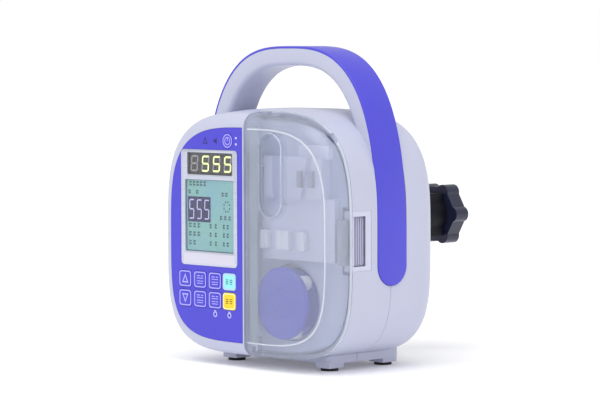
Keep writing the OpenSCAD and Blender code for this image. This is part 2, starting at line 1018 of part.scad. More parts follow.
// Plate on the back of the case, with the seat for the pole
module clamp_bracket() {
    color("dimgray")
        difference() {
            union() {
                rounded_slab(-27, 24, case_depth + 0.05, case_depth + bracket_plate_t,
                    clamp_z - 26, clamp_z + 26, 5);
                block(beam_x + 0.02, 18, case_depth + 1, pole_d - 4,
                    clamp_z - clamp_h / 2, clamp_z + clamp_h / 2);
            }
            rod_z(0, pole_d, clamp_z - clamp_h, clamp_z + clamp_h, pole_r);
            bracket_screws(80, 120, 1.55);
        }
}

// Arm round the pole, with the seat for the threaded insert
module clamp_arm() {
    z0 = clamp_z - clamp_h / 2;
    z1 = clamp_z + clamp_h / 2;
    color("dimgray")
        difference() {
            union() {
                block(-27, beam_x, case_depth + bracket_plate_t + 0.02, arm_d + arm_t, z0, z1);
                block(-27, 10, arm_d, arm_d + arm_t, z0, z1);
                rod_y(0, clamp_z, arm_d, arm_d + arm_t, 13);
            }
            rod_y(0, clamp_z, arm_d - 1, arm_d + arm_t + 1, insert_r + 0.02);
            // Groove that keeps the pad from turning
            block(-18.4, -10, pad_d - 2, arm_d - 0.01, clamp_z - 4, clamp_z + 4);
        }
}

// Threaded insert that carries the spindle
module clamp_insert() {
    color("goldenrod")
        difference() {
            rod_y(0, clamp_z, arm_d, arm_d + arm_t, insert_r);
            rod_y(0, clamp_z, arm_d - 1, arm_d + arm_t + 1, screw_root_r);
        }
}

module clamp_pad() {
    color("black")
        difference() {
            union() {
                rounded_slab(-11.5, 11.5, pad_d, pad_d + pad_t, clamp_z - 11, clamp_z + 11, 3);
                block(-18, -11, pad_d + 1, pad_d + pad_t - 1, clamp_z - 3.6, clamp_z + 3.6);
            }
            rod_y(0, clamp_z, pad_d + 2, pad_d + pad_t + 1, 3.06);
        }
}

module clamp_spindle() {
    color("gray") {
        rod_y(0, clamp_z, pad_d + 2.2, pad_d + pad_t + 1, 3);
        rod_y(0, clamp_z, pad_d + pad_t + 0.3, knob_d + 6, screw_core_r);
    }
}

// Six shallow lobes on a hexagon
module clamp_knob() {
    color("darkslategray")
        difference() {
            union() {
                rod_y(0, clamp_z, knob_d, knob_d + knob_t, knob_r - 0.7, $fn = 6);
                for (a = [0:60:300])
                    rod_y((knob_r - lobe_r) * cos(a), clamp_z + (knob_r - lobe_r) * sin(a),
                        knob_d, knob_d + knob_t, lobe_r);
                rod_y(0, clamp_z, knob_d + 1, knob_d + knob_t + knob_dome, 10);
            }
            rod_y(0, clamp_z, knob_d - 1, knob_d + 6.1, screw_core_r + 0.01);
        }
}

front_case();
rear_case();
case_gasket();
base_tray();
rubber_feet();
handle_core();
handle_cover();
panel_overlay();
display_bezel();
display_window();
led_module();
lcd_module();
display_board();
keypad_mat();
main_board();
power_board();
battery_pack();
speaker();
power_inlet();
drive_motor();
gear_frame();
pump_deck();
deck_cover();
rotor_bearings();
tube_guides();
tube_sensor();
hinge_pins();
latch_frame();
latch_spring();
case_screws();
clamp_bracket();
clamp_arm();
clamp_insert();
clamp_screws();
door_shell();
door_capsule();
door_catch();
latch_slide();
rotor_cap();
rotor_hub();
rotor_shaft();
roller_pins();
driven_gear();
roller(1);  // roller_1
roller(2);  // roller_2
roller(3);  // roller_3
motor_pinion();
key(0, 0);  // key_up
key(0, 1);  // key_down
key(1, 0);  // key_left
key(1, 1);  // key_right
key(2, 0);  // key_menu
key(2, 1);  // key_info
key(3, 0);  // key_start
key(3, 1);  // key_stop
power_key();
clamp_pad();
clamp_knob();
clamp_spindle();
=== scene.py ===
import bpy
import bmesh
import math
from mathutils import Matrix, Vector


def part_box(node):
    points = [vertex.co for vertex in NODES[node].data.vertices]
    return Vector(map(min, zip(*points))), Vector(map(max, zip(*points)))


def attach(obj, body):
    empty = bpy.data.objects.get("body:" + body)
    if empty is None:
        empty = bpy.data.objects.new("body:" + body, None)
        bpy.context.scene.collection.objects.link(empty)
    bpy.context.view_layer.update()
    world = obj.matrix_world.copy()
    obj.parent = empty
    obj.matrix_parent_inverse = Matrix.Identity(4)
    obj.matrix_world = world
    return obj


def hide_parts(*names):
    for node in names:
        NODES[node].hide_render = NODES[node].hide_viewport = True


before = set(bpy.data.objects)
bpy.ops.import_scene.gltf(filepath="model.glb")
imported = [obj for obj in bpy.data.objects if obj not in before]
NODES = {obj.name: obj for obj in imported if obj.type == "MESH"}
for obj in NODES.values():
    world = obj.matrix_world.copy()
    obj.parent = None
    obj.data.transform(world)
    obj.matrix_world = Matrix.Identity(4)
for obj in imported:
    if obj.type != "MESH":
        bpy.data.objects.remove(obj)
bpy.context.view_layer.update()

MM = 0.001

# ---------------------------------------------------------------- sizes, from the frame


def low(node, axis):
    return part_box(node)[0]["XYZ".index(axis)] / MM


def high(node, axis):
    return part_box(node)[1]["XYZ".index(axis)] / MM


# Millimetres. Depth d is counted from the front face, so Y = FACE_Y + d.
FACE_Y = low("front_case", "Y")
CASE_HALF_W = high("front_case", "X")
CASE_DEPTH = high("rear_case", "Y") - FACE_Y
SPLIT_D = high("front_case", "Y") - FACE_Y
CASE_BASE_Z = low("front_case", "Z")
CASE_TOP_Z = high("front_case", "Z")
CROWN = 3.4
CASE_HALF_H = (CASE_TOP_Z - CASE_BASE_Z - CROWN) / 2
CASE_MID_Z = CASE_BASE_Z + CASE_HALF_H
TOP_POWER = 3.4
BASE_POWER = 4.2
FRONT_ROUND = 8
REAR_ROUND = 20
WALL = 2.6
RING_STEPS = 224

DOOR_DEPTH = high("door_shell", "Y") - FACE_Y
DOOR_WALL = 2.4
DIVIDE_X = -2.2
RIM_D = DOOR_DEPTH + 0.4
FLOOR_D = RIM_D + 3
FLOOR_T = 2.6
HINGE_X = (low("hinge_pins", "X") + high("hinge_pins", "X")) / 2
HINGE_D = (low("hinge_pins", "Y") + high("hinge_pins", "Y")) / 2 - FACE_Y

GRIP_HALF_W = high("handle_cover", "X")
GRIP_TOP_Z = high("handle_cover", "Z")
GRIP_D0 = low("handle_cover", "Y") - FACE_Y
GRIP_D1 = high("handle_cover", "Y") - FACE_Y
GRIP_MID_D = (GRIP_D0 + GRIP_D1) / 2
GRIP_R = (GRIP_D1 - GRIP_D0) / 2
GRIP_TIP_Z = low("handle_cover", "Z") + GRIP_R
GRIP_MID_Z = 60
GRIP_POWER = 2.9
GRIP_COVER = 1.4
GRIP_INNER_W = 65.5
GRIP_INNER_Z = 183.2

ROTOR_X = 25
ROTOR_Z = 41
LATCH_GAP = 0.03
FILM_T = 0.6
KEY_FLANGE = 0.5
FILM_EDGE_X = high("panel_overlay", "X")


# ---------------------------------------------------------------- camera

CAM_YAW = 46.0
CAM_PITCH = 3.16
CAM_ROLL = -0.15
CAM_LENS = 162.8
CAM_DISTANCE = 1671.9
CAM_SIDE = -4.1
CAM_HEIGHT = 100.3
CAM_TARGET_Y = FACE_Y + 51


def make_camera():
    yaw = math.radians(CAM_YAW)
    pitch = math.radians(CAM_PITCH)
    level = math.cos(pitch)
    back = Vector((math.sin(yaw) * level, -math.cos(yaw) * level, math.sin(pitch)))
    right = Vector((math.cos(yaw), math.sin(yaw), 0))
    up = back.cross(right)
    target = Vector((0, CAM_TARGET_Y, CAM_HEIGHT)) + right * CAM_SIDE
    place = (target + back * CAM_DISTANCE) * MM
    turn = Matrix((right, up, back)).transposed().to_4x4()
    data = bpy.data.cameras.new("camera")
    data.lens = CAM_LENS
    data.sensor_width = 36
    data.clip_end = 60
    camera = bpy.data.objects.new("camera", data)
    bpy.context.collection.objects.link(camera)
    roll = Matrix.Rotation(math.radians(CAM_ROLL), 4, "Z")
    camera.matrix_world = Matrix.Translation(place) @ turn @ roll
    bpy.context.scene.camera = camera


# ---------------------------------------------------------------- materials


def linear(red, green, blue):
    """Scene-linear colour from 0-255 display values."""
    def channel(v):
        v = v / 255
        return v / 12.92 if v <= 0.04045 else ((v + 0.055) / 1.055) ** 2.4
    return (channel(red), channel(green), channel(blue), 1.0)


class Shader:
    """A material with one Principled shader and helpers for its node tree."""

    def __init__(self, name):
        self.material = bpy.data.materials.new(name)
        self.material.use_nodes = True
        self.tree = self.material.node_tree
        self.principled = self.tree.nodes["Principled BSDF"]
        self.output = self.tree.nodes["Material Output"]
        coordinates = self.tree.nodes.new("ShaderNodeTexCoord")
        self.place = coordinates.outputs["Object"]

    def new(self, kind, **settings):
        node = self.tree.nodes.new("ShaderNode" + kind)
        for key, value in settings.items():
            if key in node.inputs:
                node.inputs[key].default_value = value
            else:
                setattr(node, key, value)
        return node

    def link(self, source, target):
        self.tree.links.new(source, target)

    def stretched(self, scale):
        mapping = self.new("Mapping")
        mapping.inputs["Scale"].default_value = scale
        self.link(self.place, mapping.inputs["Vector"])
        return mapping.outputs["Vector"]

    def noise(self, scale, detail=4, stretch=None):
        node = self.new("TexNoise", Scale=scale, Detail=detail)
        self.link(self.stretched(stretch) if stretch else self.place, node.inputs["Vector"])
        return node.outputs["Fac"]

    def ramp(self, value, stops):
        node = self.new("ValToRGB")
        ends = node.color_ramp.elements
        while len(ends) < len(stops):
            ends.new(0.5)
        for end, (position, colour) in zip(ends, stops):
            end.position = position
            end.color = colour if len(colour) == 4 else (*colour, 1)
        self.link(value, node.inputs["Fac"])
        return node.outputs["Color"]

    def spread(self, value, low_end, high_end):
        node = self.new("MapRange")
        node.inputs["To Min"].default_value = low_end
        node.inputs["To Max"].default_value = high_end
        self.link(value, node.inputs["Value"])
        return node.outputs["Result"]

    def bump(self, height, strength, distance):
        node = self.new("Bump", Strength=strength, Distance=distance)
        self.link(height, node.inputs["Height"])
        self.link(node.outputs["Normal"], self.principled.inputs["Normal"])

    def set(self, **values):
        for key, value in values.items():
            self.principled.inputs[key.replace("_", " ")].default_value = value


def shade(colour, factor):
    return tuple(c * factor for c in colour[:3]) + (1.0,)


def moulded(name, colour, rough, grain=900, relief=0.00006, vary=0.06, coat=0.0, stretch=None,
            shine=0.5):
    """Moulded plastic or rubber: a fine spark-eroded grain, faint flow marks and uneven gloss."""
    s = Shader(name)
    cloud = s.noise(22, 3)
    s.link(s.ramp(cloud, [(0.25, shade(colour, 1 - vary)), (0.75, shade(colour, 1 + vary))]),
           s.principled.inputs["Base Color"])
    s.link(s.spread(s.noise(160, 5), rough - 0.06, rough + 0.07), s.principled.inputs["Roughness"])
    s.bump(s.noise(grain, 3, stretch), 0.35, relief)
    s.set(Specular_IOR_Level=shine)
    if coat:
        s.set(Coat_Weight=coat, Coat_Roughness=0.12)
    return s.material


def metal(name, colour, rough, stretch=(1, 1, 1), brushed=1400):
    """Brushed or ground metal, with its lines along the least stretched axis."""
    s = Shader(name)
    lines = s.noise(brushed, 4, stretch)
    s.link(s.ramp(lines, [(0.2, shade(colour, 0.86)), (0.8, shade(colour, 1.08))]),
           s.principled.inputs["Base Color"])
    s.link(s.spread(lines, rough - 0.07, rough + 0.1), s.principled.inputs["Roughness"])
    s.bump(lines, 0.2, 0.00003)
    s.set(Metallic=1.0)
    return s.material


def see_through(name, colour, haze, rough, grain, blur=0.0, tint=(1, 1, 1, 1)):
    """Clear or frosted plastic: some light goes straight through, some is blurred a little, and
    some meets a pale haze. A clear coat reflects more at a glancing angle."""
    s = Shader(name)
    cloud = s.noise(30, 3)
    s.link(s.ramp(cloud, [(0.3, shade(colour, 0.95)), (0.7, shade(colour, 1.04))]),
           s.principled.inputs["Base Color"])
    s.link(s.spread(s.noise(240, 4), rough + 0.1, rough + 0.2), s.principled.inputs["Roughness"])
    s.bump(s.noise(grain, 3), 0.2, 0.00002)
    clear = s.new("BsdfTransparent", Color=tint)
    through = clear.outputs[0]
    if blur:
        scatter = s.new("BsdfRefraction", Color=tint, Roughness=rough, IOR=1.03)
        both = s.new("MixShader", Fac=blur)
        s.link(through, both.inputs[1])
        s.link(scatter.outputs[0], both.inputs[2])
        through = both.outputs[0]
    hazy = s.new("MixShader")
    s.link(s.spread(s.noise(14, 2), haze - 0.03, haze + 0.03), hazy.inputs["Fac"])
    s.link(through, hazy.inputs[1])
    s.link(s.principled.outputs[0], hazy.inputs[2])
    gloss = s.new("BsdfGlossy", Roughness=rough * 0.6)
    facing = s.new("LayerWeight")
    steep = s.new("Math", operation="POWER")
    steep.inputs[1].default_value = 4
    s.link(facing.outputs["Facing"], steep.inputs[0])
    top = s.new("MixShader")
    s.link(s.spread(steep.outputs[0], 0.03, 0.8), top.inputs["Fac"])
    s.link(hazy.outputs[0], top.inputs[1])
    s.link(gloss.outputs[0], top.inputs[2])
    s.link(top.outputs[0], s.output.inputs["Surface"])
    return s.material


def glowing(name, colour, strength):
    """A lit display segment, its brightness varying a little at random."""
    s = Shader(name)
    cloud = s.noise(900, 2)
    for socket in ("Base Color", "Emission Color"):
        s.link(s.ramp(cloud, [(0.3, shade(colour, 0.85)), (0.7, colour)]), s.principled.inputs[socket])
    s.set(Emission_Strength=strength, Roughness=0.4)
    return s.material


def display_face(name, colour, tint):
    """Liquid crystal panel: fine pixel columns over an uneven backlight."""
    s = Shader(name)
    cloud = s.noise(38, 2)
    for socket in ("Base Color", "Emission Color"):
        s.link(s.ramp(cloud, [(0.3, colour), (0.7, tint)]), s.principled.inputs[socket])
    s.bump(s.noise(1500, 1, (1, 1, 0.02)), 0.2, 0.00002)
    s.set(Emission_Strength=0.25, Roughness=0.3)
    return s.material


WHITE = linear(191, 194, 215)
BLUE_BAND = linear(76, 72, 206)
FILM_BLUE = linear(64, 56, 204)

MATERIALS = {
    "white": moulded("white_moulding", WHITE, 0.42, 700, 0.00005, 0.015, coat=0.15),
    "tray": moulded("matt_white_moulding", WHITE, 0.55, 600, 0.00009, 0.02),
    "band": moulded("blue_band", BLUE_BAND, 0.36, 1100, 0.00006, 0.03),
    "film": moulded("printed_film", FILM_BLUE, 0.34, 1500, 0.00003, 0.03, coat=0.2),
    "line": moulded("printed_line", linear(176, 172, 255), 0.4, 1500, 0.00002, 0.03),
    "pale_print": moulded("pale_print", linear(206, 204, 250), 0.4, 1500, 0.00002, 0.03),
    "dark_print": moulded("dark_print", linear(36, 28, 120), 0.45, 1500, 0.00002, 0.05),
    "cyan": moulded("cyan_key", linear(150, 238, 240), 0.38, 1300, 0.00003, 0.03, coat=0.15),
    "cyan_print": moulded("cyan_key_print", linear(40, 110, 130), 0.45, 1500, 0.00002, 0.05),
    "yellow": moulded("yellow_key", linear(250, 214, 10), 0.38, 1300, 0.00003, 0.03, coat=0.15),
    "yellow_rim": moulded("yellow_key_rim", linear(252, 246, 170), 0.38, 1300, 0.00003, 0.03),
    "yellow_print": moulded("yellow_key_print", linear(120, 90, 10), 0.45, 1500, 0.00002, 0.05),
    "silver": metal("satin_silver", linear(206, 210, 226), 0.38, (0.02, 1, 1), 1600),
    "silver_print": moulded("silver_label", linear(212, 210, 226), 0.42, 1200, 0.00003, 0.02),
    "black_display": moulded("black_display", linear(14, 14, 20), 0.3, 1500, 0.00002, 0.2),
    "lit": glowing("lit_segment", linear(232, 246, 160), 0.85),
    "unlit": moulded("unlit_segment", linear(150, 146, 152), 0.5, 1500, 0.00002, 0.05),
    "lcd": display_face("teal_display", linear(112, 160, 176), linear(116, 168, 160)),
    "lcd_ink": moulded("display_ink", linear(52, 92, 112), 0.5, 1600, 0.00001, 0.1),
    "lcd_navy": moulded("display_navy", linear(26, 26, 92), 0.4, 1600, 0.00001, 0.1),
    "lcd_pale": moulded("display_pale", linear(206, 206, 244), 0.5, 1600, 0.00001, 0.05),
    "window": see_through("clear_window", linear(235, 240, 250), 0.01, 0.08, 1800),
    "door": see_through("frosted_door", linear(212, 217, 234), 0.15, 0.26, 1300, 0.62,
                        (0.96, 0.975, 0.985, 1)),
    # Paler and hazier than the door: a painted highlight for the door's ridge, rim and capsule bead
    "painted_highlight_edge": see_through("painted_highlight_edge", linear(236, 240, 250), 0.5, 0.2, 1300, 0.2),
    "hinge_strip": see_through("hinge_strip", linear(164, 176, 188), 0.42, 0.3, 1200, 0.5),
    "capsule": see_through("clear_capsule", linear(206, 214, 232), 0.08, 0.1, 1600, 0.0,
                           (0.93, 0.95, 0.97, 1)),
    "deck": moulded("deck_moulding", linear(186, 190, 214), 0.55, 700, 0.00008, 0.04),
    "cover": moulded("deck_cover_moulding", linear(206, 206, 228), 0.5, 700, 0.00008, 0.03),
    "guide": moulded("white_acetal", linear(228, 228, 238), 0.4, 900, 0.00004, 0.02),
    "rotor": moulded("blue_rotor", linear(34, 44, 190), 0.4, 900, 0.00004, 0.05, coat=0.2),
    "roller": moulded("roller_acetal", linear(226, 228, 236), 0.34, 1100, 0.00003, 0.02),
    "grey": moulded("grey_moulding", linear(168, 168, 184), 0.5, 800, 0.00006, 0.03),
    "slide": moulded("latch_moulding", linear(176, 176, 200), 0.45, 800, 0.00006, 0.03),
    "frame": moulded("latch_frame_moulding", linear(204, 206, 226), 0.42, 800, 0.00005, 0.02),
    "dark_grey": moulded("dark_grey_moulding", linear(66, 68, 78), 0.55, 800, 0.00006, 0.05),
    "black": moulded("black_nylon", linear(14, 15, 24), 0.42, 900, 0.00008, 0.1, shine=0.18),
    "knob": moulded("black_knob", linear(34, 38, 62), 0.3, 1000, 0.00004, 0.1, coat=0.25,
                    shine=0.35),
    "rubber": moulded("black_rubber", linear(26, 26, 30), 0.75, 1400, 0.00012, 0.12),
    "steel": metal("ground_steel", linear(190, 192, 198), 0.28),
    "screw": metal("zinc_screw", linear(196, 200, 210), 0.32),
    "brass": metal("brass", linear(206, 170, 96), 0.3),
    "plate": metal("machined_plate", linear(190, 194, 200), 0.4, (0.03, 1, 1)),
    "board": moulded("green_board", linear(24, 92, 52), 0.4, 1500, 0.00004, 0.12, coat=0.3),
    "sleeve": moulded("blue_sleeve", linear(40, 84, 190), 0.35, 500, 0.00006, 0.06),
    "ivory": moulded("natural_acetal", linear(232, 226, 206), 0.42, 900, 0.00004, 0.03),
}

# Which material each node of the frame wears
WEARS = {
    "white": ["front_case", "rear_case", "handle_core"],
    "tray": ["base_tray"],
    "band": ["handle_cover"],
    "film": ["panel_overlay", "key_up", "key_down", "key_left", "key_right", "key_menu", "key_info",
             "power_key"],
    "cyan": ["key_start"],
    "yellow": ["key_stop"],
    "silver": ["display_bezel"],
    "window": ["display_window"],
    "black_display": ["led_module"],
    "lcd": ["lcd_module"],
    "board": ["display_board", "main_board", "power_board"],
    "sleeve": ["battery_pack"],
    "dark_grey": ["speaker", "keypad_mat", "case_gasket"],
    "black": ["power_inlet", "clamp_bracket", "clamp_arm"],
    "steel": ["drive_motor", "rotor_bearings", "hinge_pins", "latch_spring", "rotor_shaft",
              "roller_pins", "clamp_spindle"],
    "plate": ["gear_frame"],
    "deck": ["pump_deck"],
    "cover": ["deck_cover"],
    "guide": ["tube_guides"],
    "grey": ["tube_sensor", "door_catch"],
    "frame": ["latch_frame"],
    "slide": ["latch_slide"],
    "screw": ["case_screws", "clamp_screws"],
    "door": ["door_shell"],
    "capsule": ["door_capsule"],
    "rotor": ["rotor_cap", "rotor_hub"],
    "ivory": ["driven_gear"],
    "roller": ["roller_1", "roller_2", "roller_3"],
    "brass": ["motor_pinion", "clamp_insert"],
    "rubber": ["rubber_feet", "clamp_pad"],
    "knob": ["clamp_knob"],
}


def paint(obj, key):
    obj.data.materials.clear()
    obj.data.materials.append(MATERIALS[key])


def paint_nodes():
    for key, names in WEARS.items():
        for name in names:
            node = NODES[name]
            for slot in node.material_slots:
                slot.material = MATERIALS[key]


# ---------------------------------------------------------------- mesh helpers


def smooth(obj, angle=32):
    for face in obj.data.polygons:
        face.use_smooth = True
    obj.data.set_sharp_from_angle(angle=math.radians(angle))


def add_object(name, mesh):
    obj = bpy.data.objects.new(name, mesh)
    bpy.context.collection.objects.link(obj)
    return obj


def mesh_object(name, points, faces):
    """An object from points in X, depth, Z millimetres."""
    mesh = bpy.data.meshes.new(name)
    mesh.from_pydata([(x * MM, (FACE_Y + d) * MM, z * MM) for x, d, z in points], [], faces)
    bm = bmesh.new()
    bm.from_mesh(mesh)
    bmesh.ops.recalc_face_normals(bm, faces=bm.faces)
    bm.to_mesh(mesh)
    bm.free()
    return add_object(name, mesh)


def loft(name, rings):
    """Closed skin through rings of equal length; each ring is a list of (x, d, z)."""
    count = len(rings[0])
    points = [p for ring in rings for p in ring]
    faces = [list(range(count))]
    for k in range(len(rings) - 1):
        for i in range(count):
            j = (i + 1) % count
            faces.append([k * count + i, k * count + j, (k + 1) * count + j, (k + 1) * count + i])
    faces.append([(len(rings) - 1) * count + i for i in reversed(range(count))])
    return mesh_object(name, points, faces)


def prism(name, outline, d0, d1):
    """Solid between two depths with an X-Z outline."""
    return loft(name, [[(x, d, z) for x, z in outline] for d in (d0, d1)])


def rounded_box(x0, x1, z0, z1, r, steps=7):
    points = []
    for cx, cz, start in ((x1 - r, z1 - r, 0), (x0 + r, z1 - r, 90), (x0 + r, z0 + r, 180),
                          (x1 - r, z0 + r, 270)):
        for i in range(steps + 1):
            a = math.radians(start + 90 * i / steps)
            points.append((cx + r * math.cos(a), cz + r * math.sin(a)))
    return points


def circle(x, z, r, steps=40):
    return [(x + r * math.cos(2 * math.pi * i / steps), z + r * math.sin(2 * math.pi * i / steps))
            for i in range(steps)]


def cuboid(name, x0, x1, d0, d1, z0, z1):
    return prism(name, [(x0, z0), (x1, z0), (x1, z1), (x0, z1)], d0, d1)


def apply_modifiers(obj):
    graph = bpy.context.evaluated_depsgraph_get()
    mesh = bpy.data.meshes.new_from_object(obj.evaluated_get(graph))
    old = obj.data
    obj.modifiers.clear()
    obj.data = mesh
    bpy.data.meshes.remove(old)


def combine(obj, other, how):
    step = obj.modifiers.new("cut", "BOOLEAN")
    step.operation = how
    step.solver = "EXACT"
    step.object = other
    apply_modifiers(obj)
    bpy.data.objects.remove(other)


def cut(obj, *others):
    for other in others:
        combine(obj, other, "DIFFERENCE")


def keep(obj, other):
    combine(obj, other, "INTERSECT")


def soft_edges(obj, width, segments=3, angle=40):
    """Rounds the edges of a mesh with a bevel and clean normals."""
    step = obj.modifiers.new("edge", "BEVEL")
    step.width = width * MM
    step.segments = segments
    step.limit_method = "ANGLE"
    step.angle_limit = math.radians(angle)
    step.use_clamp_overlap = True
    step.harden_normals = False
    apply_modifiers(obj)
    smooth(obj, 50)


def soften_node(name, width, segments=2, angle=40):
    """Rounds the edges of a node of the frame by modifiers alone."""
    node = NODES[name]
    weld = node.modifiers.new("weld", "WELD")
    weld.merge_threshold = 0.00001
    step = node.modifiers.new("edge", "BEVEL")
    step.width = width * MM
    step.segments = segments
    step.limit_method = "ANGLE"
    step.angle_limit = math.radians(angle)
    normals = node.modifiers.new("normals", "WEIGHTED_NORMAL")
    normals.keep_sharp = True


def place(obj, key, body, *nodes, slot=None):
    """Finishes a piece: its material, the body it rides on and the nodes it stands for."""
    paint(obj, key)
    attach(obj, body)
    if nodes:
        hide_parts(*nodes)
    return obj


# ---------------------------------------------------------------- case surface


def sgn_pow(value, power):
    return math.copysign(abs(value) ** power, value)


def lift_at(d):
    return CROWN * (1 - ((d - SPLIT_D) / SPLIT_D) ** 2)


def edge_inset(d):
    if d < FRONT_ROUND:
        return FRONT_ROUND - math.sqrt(max(0, FRONT_ROUND ** 2 - (FRONT_ROUND - d) ** 2))
    run = d - CASE_DEPTH + REAR_ROUND
    if run > 0:
        return REAR_ROUND - math.sqrt(max(0, REAR_ROUND ** 2 - run ** 2))
    return 0


def case_outline(inset, lift, steps=RING_STEPS):
    points = []
    for i in range(steps):
        a = 2 * math.pi * i / steps
        top = math.sin(a) > 0
        power = TOP_POWER if top else BASE_POWER
        half_h = CASE_HALF_H - inset + (lift if top else 0)
        points.append(((CASE_HALF_W - inset) * sgn_pow(math.cos(a), 2 / power),
                       CASE_MID_Z + half_h * sgn_pow(math.sin(a), 2 / power)))
    return points


def case_depths(d0, d1):
    front = [FRONT_ROUND * (1 - math.cos(math.radians(a))) for a in range(0, 91, 7)]
    back = [CASE_DEPTH - REAR_ROUND * (1 - math.sin(math.radians(a))) for a in range(0, 91, 6)]
    middle = [FRONT_ROUND + 5 * k for k in range(1, 13)]
    inner = [d for d in sorted(front + middle + back) if d0 + 0.05 < d < d1 - 0.05]
    return [d0] + inner + [d1]


def case_solid(name, d0, d1, off=0.0, steps=RING_STEPS):
    rings = []
    for d in case_depths(d0, d1):
        outline = case_outline(edge_inset(min(max(d, 0), CASE_DEPTH)) + off, lift_at(d), steps)
        rings.append([(x, d, z) for x, z in outline])
    return loft(name, rings)


# ---------------------------------------------------------------- handle


def arch_point(half_w, top_z, a):
    half_h = top_z - GRIP_MID_Z
    return (half_w * sgn_pow(math.cos(a), 2 / GRIP_POWER),
            GRIP_MID_Z + half_h * sgn_pow(math.sin(a), 2 / GRIP_POWER))


def rounded_section(outer, inner, d0, d1, r_out, r_in, steps=5):
    """Cross-section of the handle between an outer and an inner point, with round corners."""
    ox, oz = outer
    ix, iz = inner
    length = math.hypot(ox - ix, oz - iz)
    corners = ((0, d0, r_out, 180), (length, d0, r_in, 270), (length, d1, r_in, 0),
               (0, d1, r_out, 90))
    points = []
    for depth_in, d, r, start in corners:
        r = min(r, length * 0.48)
        cu = r if depth_in == 0 else length - r
        cd = d0 + r if d == d0 else d1 - r
        for i in range(steps + 1):
            a = math.radians(start + 90 * i / steps)
            u = cu + r * math.cos(a)
            v = cd + r * math.sin(a)
            t = u / length
            points.append((ox + (ix - ox) * t, v, oz + (iz - oz) * t))
    return points


def handle_core():
    stations = []
    outer_w = GRIP_HALF_W - GRIP_COVER
    for i in range(121):
        a = math.radians(7 + 166 * i / 120)
        outer = arch_point(outer_w, GRIP_TOP_Z - GRIP_COVER, a)
        inner = arch_point(GRIP_INNER_W, GRIP_INNER_Z, a)
        stations.append(rounded_section(outer, inner, GRIP_D0, GRIP_D1, 0.3, 3.2))
    core = loft("handle_core_skin", stations)
    smooth(core, 60)
    place(core, "white", "pump", "handle_core")


def handle_band():
    """The coloured cover: over the arch and down both sides to round tips."""
    def station(outer, inner, z):
        drop = max(0, GRIP_TIP_Z - z)
        half = math.sqrt(max(0.01, GRIP_R ** 2 - drop ** 2))
        return rounded_section(outer, inner, GRIP_MID_D - half, GRIP_MID_D + half, 0.7, 0.15)

    tip_z = GRIP_TIP_Z - GRIP_R
    drops = [tip_z + GRIP_R * (1 - math.cos(math.radians(a))) for a in range(3, 90, 6)]
    side = []
    for z in drops:
        side.append(((GRIP_HALF_W, z), (GRIP_HALF_W - 2.6, z), z))
    stations = [station(*entry) for entry in side]
    for i in range(161):
        a = math.radians(1.2 + 177.6 * i / 160)
        outer = arch_point(GRIP_HALF_W, GRIP_TOP_Z, a)
        if outer[1] < GRIP_TIP_Z:
            continue
        inner = arch_point(GRIP_HALF_W - GRIP_COVER, GRIP_TOP_Z - GRIP_COVER, a)
        stations.append(station(outer, inner, outer[1]))
    for (ox, oz), (ix, iz), z in reversed(side):
        stations.append(station((-ox, oz), (-ix, iz), z))
    band = loft("handle_band", stations)
    smooth(band, 50)
    place(band, "band", "pump", "handle_cover")


def band_side_outline(gap):
    """Side view of the band, as (depth, z) points."""
    r = GRIP_R + gap
    points = [(GRIP_MID_D + r, 260), (GRIP_MID_D - r, 260)]
    for i in range(25):
        a = math.radians(180 + 180 * i / 24)
        points.append((GRIP_MID_D + r * math.cos(a), GRIP_TIP_Z + r * math.sin(a)))
    return points


def channel_cutter(side, gap=0.3):
    """What the band's channel takes out of one side of the case."""
    x0, x1 = 73.8 * side, 95 * side
    outline = band_side_outline(gap)
    rings = [[(x, d, z) for d, z in outline] for x in (x0, x1)]
    return loft("channel", rings)


# ---------------------------------------------------------------- case halves


def inner_space(d0, d1, *box):
    space = case_solid("space", d0, d1, WALL, 120)
    keep(space, cuboid("limit", *box))
    return space


def chamber_space():
    space = case_solid("chamber", RIM_D - 1, FLOOR_D, WALL, 160)
    keep(space, cuboid("limit", DIVIDE_X, 100, 0, FLOOR_D + 1, -20, 250))
    return space


def key_nodes():
    return [n for n in NODES if n.startswith("key_")]


def node_outline(name, gap, r, cap=False):
    """X-Z outline of a key's cap, grown by gap."""
    flange = KEY_FLANGE if cap else 0
    return rounded_box(low(name, "X") + flange - gap, high(name, "X") - flange + gap,
                       low(name, "Z") - gap, high(name, "Z") + gap, r)


def bezel_outline(gap, r):
    name = "display_bezel"
    return rounded_box(low(name, "X") - gap, high(name, "X") + gap,
                       low(name, "Z") - gap, high(name, "Z") + gap, r)


POWER_X = (low("power_key", "X") + high("power_key", "X")) / 2
POWER_Z = (low("power_key", "Z") + high("power_key", "Z")) / 2
POWER_R = (high("power_key", "X") - low("power_key", "X")) / 2 - 0.8


def film_outline(gap=0.0):
    points = [(x, z) for x, z in case_outline(FRONT_ROUND - gap, 0, 400)]
    edge = FILM_EDGE_X + gap
    kept = [p for p in points if p[0] <= edge]
    start = next(i for i, p in enumerate(kept) if i and math.dist(p, kept[i - 1]) > 30) if any(
        math.dist(kept[i], kept[i - 1]) > 30 for i in range(1, len(kept))) else 0
    ordered = kept[start:] + kept[:start]
    return [(edge, ordered[0][1])] + ordered + [(edge, ordered[-1][1])]


